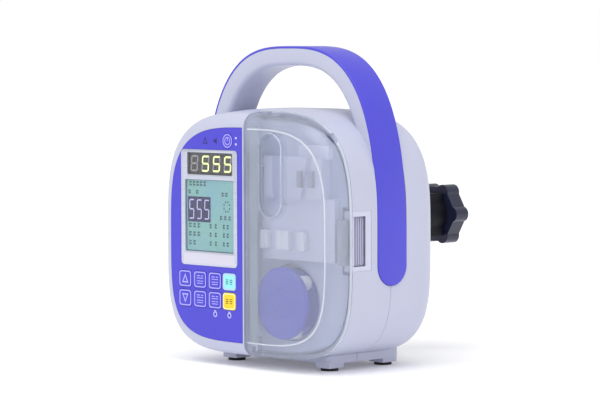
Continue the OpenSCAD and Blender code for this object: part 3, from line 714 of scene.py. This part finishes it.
def front_shell():
    shell = case_solid("front_case_skin", 0, SPLIT_D - 0.12)
    cut(shell,
        inner_space(WALL + FILM_T, SPLIT_D + 2, -100, DIVIDE_X - WALL, 0, 80, -20, 250),
        inner_space(FLOOR_D + FLOOR_T, SPLIT_D + 3, -60, 66, 0, 80, -20, 250),
        cuboid("door_space", DIVIDE_X, 100, -5, RIM_D, -20, 250),
        chamber_space(),
        cuboid("latch_space", low("latch_frame", "X") - 0.3, 90,
               RIM_D - 1, high("latch_frame", "Y") - FACE_Y + LATCH_GAP,
               low("latch_frame", "Z") - LATCH_GAP, high("latch_frame", "Z") + LATCH_GAP),
        channel_cutter(1), channel_cutter(-1),
        prism("film_pocket", film_outline(0.15), -2, FILM_T),
        prism("bezel_hole", bezel_outline(-1.4, 2), -2, 9),
        prism("power_hole", circle(POWER_X, POWER_Z, POWER_R + 0.3), -2, 9),
        prism("rotor_hole", circle(ROTOR_X, ROTOR_Z, 9), 10, 30))
    for name in key_nodes():
        cut(shell, prism("hole", node_outline(name, 0.3, 2.4, cap=True), -2, 9))
    smooth(shell, 28)
    place(shell, "white", "pump", "front_case")


def inlet_outline():
    """Hole for the mains inlet, smaller than its flange."""
    flange = 2.8
    return rounded_box(low("power_inlet", "X") + flange, high("power_inlet", "X") - flange,
                       low("power_inlet", "Z") + flange, high("power_inlet", "Z") - flange, 2)


def rear_shell():
    shell = case_solid("rear_case_skin", SPLIT_D + 0.12, CASE_DEPTH)
    cut(shell, case_solid("space", SPLIT_D - 2, CASE_DEPTH - WALL, WALL, 120),
        channel_cutter(1), channel_cutter(-1),
        prism("inlet_hole", inlet_outline(), 70, 100))
    for k in range(7):
        cut(shell, prism("vent", rounded_box(16, 46, 24 + 4 * k, 25.6 + 4 * k, 0.7), 85, 100))
    for x in (-54, 54):
        for z in (27, 133):
            cut(shell, prism("screw_hole", circle(x, z, 3.2), 60, 100))
    smooth(shell, 28)
    place(shell, "white", "pump", "rear_case")


# ---------------------------------------------------------------- door


def door_sections(steps):
    """Outlines of the case at (inset, depth) steps, raised with its crown."""
    return [[(x, depth, z) for x, z in case_outline(inset, lift_at(max(depth, 0)))]
            for inset, depth in steps]


def door_rings():
    """Front and side of the door: a raised field, a round edge and a bead at the rear."""
    d = DOOR_DEPTH
    steps = [(FRONT_ROUND + 1.0, -0.3), (FRONT_ROUND + 0.62, -0.27), (FRONT_ROUND + 0.42, -0.12),
             (FRONT_ROUND + 0.3, 0.06), (FRONT_ROUND - 0.1, 0.02)]
    for a in range(9, 91, 6):
        depth = FRONT_ROUND * (1 - math.cos(math.radians(a)))
        steps.append((edge_inset(depth), depth))
    steps += [(0, d - 2.6), (-0.06, d - 2.42), (-0.26, d - 2.2), (-0.3, d - 1.9), (-0.3, d - 0.3),
              (-0.2, d - 0.08), (0, d)]
    return door_sections(steps)


def swing_chamfer():
    """Square bar on its edge, which cuts the door's front corner beside the hinge."""
    half = 0.6
    diamond = ((-half, 0), (0, -half), (half, 0), (0, half))
    return loft("chamfer", [[(x, d, z) for x, d in diamond] for z in (-20, 250)])


def door_skin():
    door = loft("door_skin", door_rings())
    keep(door, cuboid("limit", 0, 100, -5, 30, -20, 250))
    cut(door,
        case_solid("space", DOOR_WALL, DOOR_DEPTH + 2, DOOR_WALL, 160),
        cuboid("hinge_room", -5, 5.2, DOOR_DEPTH - 1.6, 30, -20, 250),
        prism("capsule_hole", capsule_outline(10.2), -5, 10),
        prism("notch", notch_outline(), DOOR_DEPTH - 6.4, 40),
        swing_chamfer(),
        top_notch())
    for z0, z1 in ((10.8, 19.8), (123.6, 135.6)):
        knuckle = upright("knuckle", HINGE_X, HINGE_D, 2.8, z0, z1)
        combine(door, knuckle, "UNION")
        cut(door, upright("bore", HINGE_X, HINGE_D, 1.06, z0 - 0.4, z1 + 1))
    smooth(door, 24)
    place(door, "door", "door", "door_shell")


def sweep(name, rings):
    """Closed cross-section: each ring of points is joined to the next, the last to the first."""
    count = len(rings[0])
    points = [p for ring in rings for p in ring]
    faces = []
    for k in range(len(rings)):
        m = (k + 1) % len(rings)
        for i in range(count):
            j = (i + 1) % count
            faces.append([k * count + i, k * count + j, m * count + j, m * count + i])
    return mesh_object(name, points, faces)


def painted_highlight_edge(name, section):
    """Edge of the door in a paler, hazier plastic, a painted highlight, swept round the case from
    (inset, depth) points.
    """
    edge = sweep(name, door_sections(section))
    keep(edge, cuboid("limit", 1.4, 100, -5, 30, -20, 250))
    cut(edge, prism("notch", notch_outline(), DOOR_DEPTH - 6.4, 40), top_notch())
    smooth(edge, 30)
    place(edge, "painted_highlight_edge", "door")


def door_edges():
    r = FRONT_ROUND
    d = DOOR_DEPTH
    # Ridge and rim: thin beads in the paler plastic, painted highlights along the door's edges
    painted_highlight_edge("door_ridge", [(r + 1.15, -0.33), (r + 0.62, -0.31), (r + 0.38, -0.15),
                             (r + 0.22, 0.0), (r + 0.3, 0.4), (r + 1.1, 0.4)])
    painted_highlight_edge("door_rim", [(-0.33, d - 1.9), (-0.33, d - 0.4), (0.3, d - 0.4), (0.3, d - 1.9)])
    strip = cuboid("hinge_strip", 0.7, 7.6, DOOR_WALL + 0.02, DOOR_WALL + 0.12, 14, 147)
    place(strip, "hinge_strip", "door")
    # Bead round the capsule in the same paler plastic: a painted highlight on its rim
    bead = ((10.16, -0.28), (10.16, 0.1), (9.75, 0.1), (9.75, -0.62), (9.95, -0.55))
    rim = sweep("capsule_rim", [[(x, d, z) for x, z in capsule_outline(r)] for r, d in bead])
    smooth(rim, 30)
    place(rim, "painted_highlight_edge", "door")


def upright(name, x, d, r, z0, z1, steps=40):
    """Upright cylinder."""
    ring = [(x + r * math.cos(2 * math.pi * i / steps), d + r * math.sin(2 * math.pi * i / steps))
            for i in range(steps)]
    return loft(name, [[(px, pd, z) for px, pd in ring] for z in (z0, z1)])


def top_notch():
    """Slot through the top of the door, round at its front end."""
    back = DOOR_DEPTH + 8
    front = DOOR_DEPTH - 5
    arc = [(12 + 4.5 * math.cos(math.radians(a)), front + 4.5 * math.sin(math.radians(a)))
           for a in range(180, 361, 12)]
    ring = [(7.5, back)] + arc + [(16.5, back)]
    return loft("top_notch", [[(x, d, z) for x, d in ring] for z in (145, 170)])


def notch_outline():
    return [(56, 139), (61, 134), (85, 158), (80, 163)]


def capsule_outline(r):
    return rounded_box(21 - r, 21 + r, 102.4 - r, 133 + r, r - 0.001, 14)


def capsule():
    """Clear dome with a flange behind the door's face."""
    def ring(r, d):
        return [(x, d, z) for x, z in capsule_outline(r)]

    flange = [(11.4, DOOR_WALL + 1), (11.6, DOOR_WALL + 0.8), (11.6, DOOR_WALL + 0.03),
              (10.1, DOOR_WALL + 0.03)]
    dome = [(10.1, 0.0), (9.95, -0.45), (9.6, -0.95), (9.0, -1.4), (8.1, -1.85), (6.8, -2.2),
            (5.0, -2.45), (2.6, -2.58), (0.6, -2.6)]
    wall = 1.3
    outer = flange + dome
    inner = [(r - wall, d + wall) for r, d in reversed(dome[:-1]) if r > 1.9]
    inner.append((8.8, DOOR_WALL + 1))
    rings = [ring(r, d) for r, d in outer] + [ring(r, d) for r, d in inner]
    count = len(rings[0])
    points = [p for ring_points in rings for p in ring_points]
    faces = []
    joins = [(k, k + 1) for k in range(len(outer) - 1)] + [
        (k, k + 1) for k in range(len(outer), len(rings) - 1)] + [(len(rings) - 1, 0)]
    for k, m in joins:
        for i in range(count):
            j = (i + 1) % count
            faces.append([k * count + i, k * count + j, m * count + j, m * count + i])
    faces.append([(len(outer) - 1) * count + i for i in range(count)])
    faces.append([len(outer) * count + i for i in range(count)])
    lens = mesh_object("capsule_lens", points, faces)
    smooth(lens, 40)
    place(lens, "capsule", "door", "door_capsule")


# ---------------------------------------------------------------- front panel


def film():
    sheet = prism("panel_film", film_outline(), 0, FILM_T - 0.02)
    cut(sheet, prism("hole", bezel_outline(0.1, 2.6), -1, 2),
        prism("hole", circle(POWER_X, POWER_Z, POWER_R + 0.2), -1, 2))
    for name in key_nodes():
        cut(sheet, prism("hole", node_outline(name, 0.2, 2.2, cap=True), -1, 2))
    smooth(sheet, 30)
    place(sheet, "film", "pump", "panel_overlay")


def decal(name, shapes, d, key, body, slot, thick=0.06):
    """Thin printed shapes: each is an outline, or an (outer, inner) pair of equal length."""
    points = []
    faces = []
    for shape in shapes:
        start = len(points)
        if isinstance(shape, tuple):
            outer, inner = shape
            n = len(outer)
            for loop in (outer, inner):
                for depth in (d, d + thick):
                    points += [(x, depth, z) for x, z in loop]
            rows = [start + k * n for k in range(4)]
            for a, b in ((rows[0], rows[2]), (rows[2], rows[3]), (rows[3], rows[1]),
                         (rows[1], rows[0])):
                for i in range(n):
                    j = (i + 1) % n
                    faces.append([a + i, a + j, b + j, b + i])
        else:
            n = len(shape)
            for depth in (d, d + thick):
                points += [(x, depth, z) for x, z in shape]
            faces.append([start + i for i in range(n)])
            faces.append([start + n + i for i in reversed(range(n))])
            for i in range(n):
                j = (i + 1) % n
                faces.append([start + i, start + j, start + n + j, start + n + i])
    piece = mesh_object(name, points, faces)
    return place(piece, key, body, slot=slot)


def bar(x, z, w, h):
    return [(x - w / 2, z - h / 2), (x + w / 2, z - h / 2),
            (x + w / 2, z + h / 2), (x - w / 2, z + h / 2)]


def seven_segments(x, z, w, h, t, slant):
    """Outlines of the seven strokes of a figure centred on x, z, in the order a to g."""
    def stroke(cx, cz, length, upright):
        half = length / 2
        k = t / 2
        if upright:
            shape = [(-k, -half + k), (0, -half), (k, -half + k),
                     (k, half - k), (0, half), (-k, half - k)]
        else:
            shape = [(-half, 0), (-half + k, -k), (half - k, -k),
                     (half, 0), (half - k, k), (-half + k, k)]
        return [(x + cx + px + slant * (cz + pz), z + cz + pz) for px, pz in shape]

    gap = t * 0.12
    across = w - t - gap
    up = h / 2 - t / 2 - gap
    return [stroke(0, h / 2 - t / 2, across, False),
            stroke(w / 2 - t / 2, h / 4 - t / 8, up, True),
            stroke(w / 2 - t / 2, -h / 4 + t / 8, up, True),
            stroke(0, -h / 2 + t / 2, across, False),
            stroke(-w / 2 + t / 2, -h / 4 + t / 8, up, True),
            stroke(-w / 2 + t / 2, h / 4 - t / 8, up, True),
            stroke(0, 0, across, False)]


FIVE = (0, 2, 3, 5, 6)


def led_figures():
    x0, x1 = low("led_module", "X"), high("led_module", "X")
    z = (low("led_module", "Z") + high("led_module", "Z")) / 2
    face = low("led_module", "Y") - FACE_Y
    pitch = (x1 - x0) / 4
    lit = []
    unlit = []
    for k in range(4):
        strokes = seven_segments(x0 + pitch * (k + 0.5), z, 6.6, 9.9, 1.05, 0.1)
        for i, stroke in enumerate(strokes):
            (lit if k and i in FIVE else unlit).append(stroke)
    decal("led_lit", lit, face - 0.08, "lit", "pump", "led_module")
    decal("led_unlit", unlit, face - 0.07, "unlit", "pump", "led_module")


def lcd_graphics():
    x0, x1 = low("lcd_module", "X"), high("lcd_module", "X")
    z0, z1 = low("lcd_module", "Z"), high("lcd_module", "Z")
    face = low("lcd_module", "Y") - FACE_Y
    w, h = x1 - x0, z1 - z0

    def at(u, v):
        return x0 + u * w, z1 - v * h

    ink = []

    def marks(u, v, count, size=0.05, step=0.075, tall=0.06):
        for k in range(count):
            x, z = at(u + k * step, v)
            ink.append(bar(x, z + tall * h * 0.28, size * w, tall * h * 0.3))
            ink.append(bar(x, z - tall * h * 0.28, size * w, tall * h * 0.3))
            ink.append(bar(x - size * w * 0.3, z, size * w * 0.3, tall * h))

    marks(0.08, 0.05, 5, tall=0.075)
    marks(0.06, 0.17, 1)
    marks(0.22, 0.17, 1)
    marks(0.76, 0.19, 2)
    marks(0.72, 0.52, 3, 0.045, 0.09)
    for row, v in enumerate((0.645, 0.765, 0.89)):
        marks(0.07, v, 3 if row < 2 else 2, tall=0.07, step=0.09)
        marks(0.5, v, 2, 0.04, 0.11, 0.065)
        marks(0.78, v, 2, 0.04, 0.08, 0.065)
    cx, cz = at(0.84, 0.36)
    for k in range(8):
        a = 2 * math.pi * (k + 0.5) / 8
        ink.append(bar(cx + 2.7 * math.cos(a), cz + 3.1 * math.sin(a), 1.0, 1.1))
    decal("lcd_marks", ink, face - 0.05, "lcd_ink", "pump", "lcd_module", 0.03)

    left, top = at(0.02, 0.235)
    right, base = at(0.5, 0.595)
    panel = [(left, base), (right, base), (right, top), (left, top)]
    decal("lcd_panel", [panel], face - 0.05, "lcd_navy", "pump", "lcd_module", 0.03)
    figures = []
    step = (right - left) / 3
    for k in range(3):
        strokes = seven_segments(left + step * (k + 0.5), (top + base) / 2,
                                 step * 0.66, (top - base) * 0.78, 0.75, 0.04)
        figures += [strokes[i] for i in FIVE]
    decal("lcd_figures", figures, face - 0.09, "lcd_pale", "pump", "lcd_module", 0.03)


def bezel():
    name = "display_bezel"
    frame_piece = prism("bezel_frame", bezel_outline(0, 2.5), -0.2, FILM_T - 0.02)
    lower = prism("back", bezel_outline(-1.5, 1.9), FILM_T - 0.1, 2.6)
    combine(frame_piece, lower, "UNION")
    for part in ("led_module", "lcd_module"):
        hole = rounded_box(low(part, "X") - 0.4, high(part, "X") + 0.4,
                           low(part, "Z") - 0.4, high(part, "Z") + 0.4, 0.8)
        cut(frame_piece, prism("hole", hole, -2, 5))
    soft_edges(frame_piece, 0.12, 2)
    place(frame_piece, "silver", "pump", name)
    x0, x1 = low(name, "X") + 2.2, high(name, "X") - 2.2
    z0, z1 = low(name, "Z") + 1.2, low("lcd_module", "Z") - 1.6
    decal("bezel_label", [rounded_box(x0, x1, z0, z1, 0.8)], -0.23, "silver_print", "pump", name)


def keycap(name, key, ring_key):
    base = node_outline(name, 0, 2, cap=True)
    top_d = low(name, "Y") - FACE_Y
    cap = loft(name + "_cap", [
        [(x, 3.6, z) for x, z in base],
        [(x, top_d + 0.25, z) for x, z in base],
        [(x, top_d + 0.07, z) for x, z in node_outline(name, -0.08, 1.95, cap=True)],
        [(x, top_d, z) for x, z in node_outline(name, -0.3, 1.8, cap=True)]])
    flange = rounded_box(low(name, "X"), high(name, "X"), low(name, "Z"), high(name, "Z"), 2)
    combine(cap, prism("flange", flange, 3.5, 4.7), "UNION")
    smooth(cap, 30)
    place(cap, key, name, name)
    outer = node_outline(name, -0.35, 1.9, cap=True)
    inner = node_outline(name, -1.05, 1.5, cap=True)
    decal(name + "_ring", [(outer, inner)], top_d - 0.05, ring_key, name, name)
    return top_d


def key_legends():
    """Plain marks: arrows on the first column, bars on the others."""
    for name in key_nodes():
        if name == "key_start":
            top_d = keycap(name, "cyan", "pale_print")
        elif name == "key_stop":
            top_d = keycap(name, "yellow", "yellow_rim")
        else:
            top_d = keycap(name, "film", "line")
        x = (low(name, "X") + high(name, "X")) / 2
        z = (low(name, "Z") + high(name, "Z")) / 2
        key = {"key_start": "cyan_print", "key_stop": "yellow_print"}.get(name, "line")
        if name in ("key_up", "key_down"):
            s = 1 if name == "key_up" else -1
            outer = [(x - 2.9, z - 2.6 * s), (x, z + 3.2 * s), (x + 2.9, z - 2.6 * s)]
            inner = [(x - 1.6, z - 1.75 * s), (x, z + 1.5 * s), (x + 1.6, z - 1.75 * s)]
            shapes = [(outer, inner)]
        elif name in ("key_start", "key_stop"):
            shapes = [bar(x - 1.8, z, 2.4, 0.6), bar(x + 1.8, z, 2.4, 0.6),
                      bar(x - 1.8, z + 1.2, 2.0, 0.5), bar(x + 1.8, z + 1.2, 2.4, 0.5),
                      bar(x - 1.8, z - 1.2, 2.4, 0.5), bar(x + 1.8, z - 1.2, 1.8, 0.5)]
        else:
            shapes = [bar(x - 1.5, z + 2.3, 2.8, 0.55), bar(x + 1.9, z + 2.3, 2.0, 0.55),
                      bar(x, z + 0.9, 5.8, 0.5), bar(x - 1.2, z - 0.9, 3.2, 0.5),
                      bar(x + 1.9, z - 0.9, 2.2, 0.5), bar(x, z - 2.3, 5.4, 0.5)]
        decal(name + "_mark", shapes, top_d - 0.05, key, name, name)


def power_key():
    top_d = low("power_key", "Y") - FACE_Y
    cap = loft("power_key_cap", [
        [(x, 4.7, z) for x, z in circle(POWER_X, POWER_Z, POWER_R + 0.8, 64)],
        [(x, 3.5, z) for x, z in circle(POWER_X, POWER_Z, POWER_R + 0.8, 64)],
        [(x, 3.5, z) for x, z in circle(POWER_X, POWER_Z, POWER_R, 64)],
        [(x, top_d + 0.25, z) for x, z in circle(POWER_X, POWER_Z, POWER_R, 64)],
        [(x, top_d + 0.06, z) for x, z in circle(POWER_X, POWER_Z, POWER_R - 0.08, 64)],
        [(x, top_d, z) for x, z in circle(POWER_X, POWER_Z, POWER_R - 0.3, 64)]])
    smooth(cap, 30)
    place(cap, "film", "power_key", "power_key")
    rings = [(circle(POWER_X, POWER_Z, 4.2, 48), circle(POWER_X, POWER_Z, 3.55, 48)),
             (circle(POWER_X, POWER_Z, 2.5, 48), circle(POWER_X, POWER_Z, 1.95, 48))]
    decal("power_key_rings", rings, top_d - 0.05, "line", "power_key", "power_key")
    stem = bar(POWER_X, POWER_Z + 1.2, 0.55, 2.6)
    decal("power_key_mark", [stem], top_d - 0.06, "line", "power_key", "power_key")


def panel_icons():
    z = POWER_Z
    x = POWER_X
    triangle = [(x - 22.6, z - 2.2), (x - 20.3, z + 2.2), (x - 18, z - 2.2)]
    hollow = [(x - 21.4, z - 1.5), (x - 20.3, z + 0.7), (x - 19.2, z - 1.5)]
    horn = [(x - 13, z - 0.9), (x - 13, z + 0.5), (x - 11.7, z + 0.5),
            (x - 9.9, z + 2), (x - 9.9, z - 2.4), (x - 11.7, z - 0.9)]
    decal("panel_dark_icons", [(triangle, hollow), horn], -0.05, "dark_print",
          "pump", "panel_overlay", 0.08)
    marks = [bar(x + 7.4, z + 1.9, 1.5, 1.2), bar(x + 7.4, z - 1.9, 1.5, 1.2)]
    row_z = low("key_stop", "Z") - 3.4
    for name in ("key_info", "key_stop"):
        cx = (low(name, "X") + high(name, "X")) / 2
        marks += [(circle(cx, row_z, 1.7, 24), circle(cx, row_z, 1.1, 24)),
                  bar(cx, row_z + 2.1, 2.0, 0.5)]
    decal("panel_pale_icons", marks, -0.05, "pale_print", "pump", "panel_overlay", 0.08)


# ---------------------------------------------------------------- stage and light


def stage():
    far = 30000
    corners = [(-far, far, 0), (far, far, 0), (far, -far, 0), (-far, -far, 0)]
    floor = mesh_object("floor", corners, [[0, 1, 2, 3]])
    s = Shader("pale_floor")
    s.link(s.ramp(s.noise(3, 2), [(0.3, (0.90, 0.90, 0.92)), (0.7, (0.93, 0.93, 0.94))]),
           s.principled.inputs["Base Color"])
    s.set(Roughness=0.9, Emission_Color=(1, 1, 1, 1), Emission_Strength=0.1)
    floor.data.materials.append(s.material)


def direction(azimuth, elevation):
    a = math.radians(azimuth)
    e = math.radians(elevation)
    return Vector((math.sin(a) * math.cos(e), -math.cos(a) * math.cos(e), math.sin(e)))


def add_light(name, kind, azimuth, elevation, energy, distance=1.5, **settings):
    """A lamp in the given direction from the object, aimed at its middle."""
    data = bpy.data.lights.new(name, kind)
    data.energy = energy
    for key, value in settings.items():
        setattr(data, key, value)
    lamp = bpy.data.objects.new(name, data)
    bpy.context.collection.objects.link(lamp)
    away = direction(azimuth, elevation)
    turn = away.to_track_quat("Z", "Y").to_matrix().to_4x4()
    lamp.matrix_world = Matrix.Translation(away * distance + Vector((0, 0, 0.1))) @ turn


def world_light():
    """A white studio: bright round the horizon, dimmer overhead."""
    world = bpy.data.worlds.new("studio")
    world.use_nodes = True
    tree = world.node_tree
    background = tree.nodes["Background"]
    background.inputs["Color"].default_value = (1.0, 1.0, 1.0, 1)
    coordinates = tree.nodes.new("ShaderNodeTexCoord")
    parts = tree.nodes.new("ShaderNodeSeparateXYZ")
    fade = tree.nodes.new("ShaderNodeMapRange")
    fade.inputs["From Min"].default_value = 0.03
    fade.inputs["From Max"].default_value = 0.15
    fade.inputs["To Min"].default_value = 1.0
    fade.inputs["To Max"].default_value = 0.7
    tree.links.new(coordinates.outputs["Generated"], parts.inputs["Vector"])
    tree.links.new(parts.outputs["Z"], fade.inputs["Value"])
    tree.links.new(fade.outputs["Result"], background.inputs["Strength"])
    bpy.context.scene.world = world


def lights():
    world_light()
    add_light("overhead", "SUN", 22, 72, 1.35, angle=math.radians(50))
    add_light("front_fill", "SUN", -20, 30, 0.22, angle=math.radians(70))
    add_light("gloss_panel", "AREA", 75, 48, 1.6, distance=1.3, shape="DISK", size=0.5)
    bpy.context.scene.view_settings.view_transform = "Standard"


# Width of the rounded edges of the nodes that stay in view, in millimetres
SOFT_EDGES = {"base_tray": 0.5, "clamp_bracket": 0.8, "clamp_arm": 0.9, "clamp_knob": 0.9,
              "latch_frame": 0.08, "latch_slide": 0.15, "deck_cover": 0.5, "pump_deck": 0.3,
              "tube_guides": 0.4, "door_catch": 0.3, "power_inlet": 0.3, "rubber_feet": 0.4,
              "tube_sensor": 0.2, "rotor_hub": 0.3}


# ---------------------------------------------------------------- build

make_camera()
paint_nodes()
for node_name, edge in SOFT_EDGES.items():
    soften_node(node_name, edge)
front_shell()
rear_shell()
door_skin()
door_edges()
capsule()
handle_core()
handle_band()
film()
bezel()
led_figures()
lcd_graphics()
key_legends()
power_key()
panel_icons()
stage()
lights()
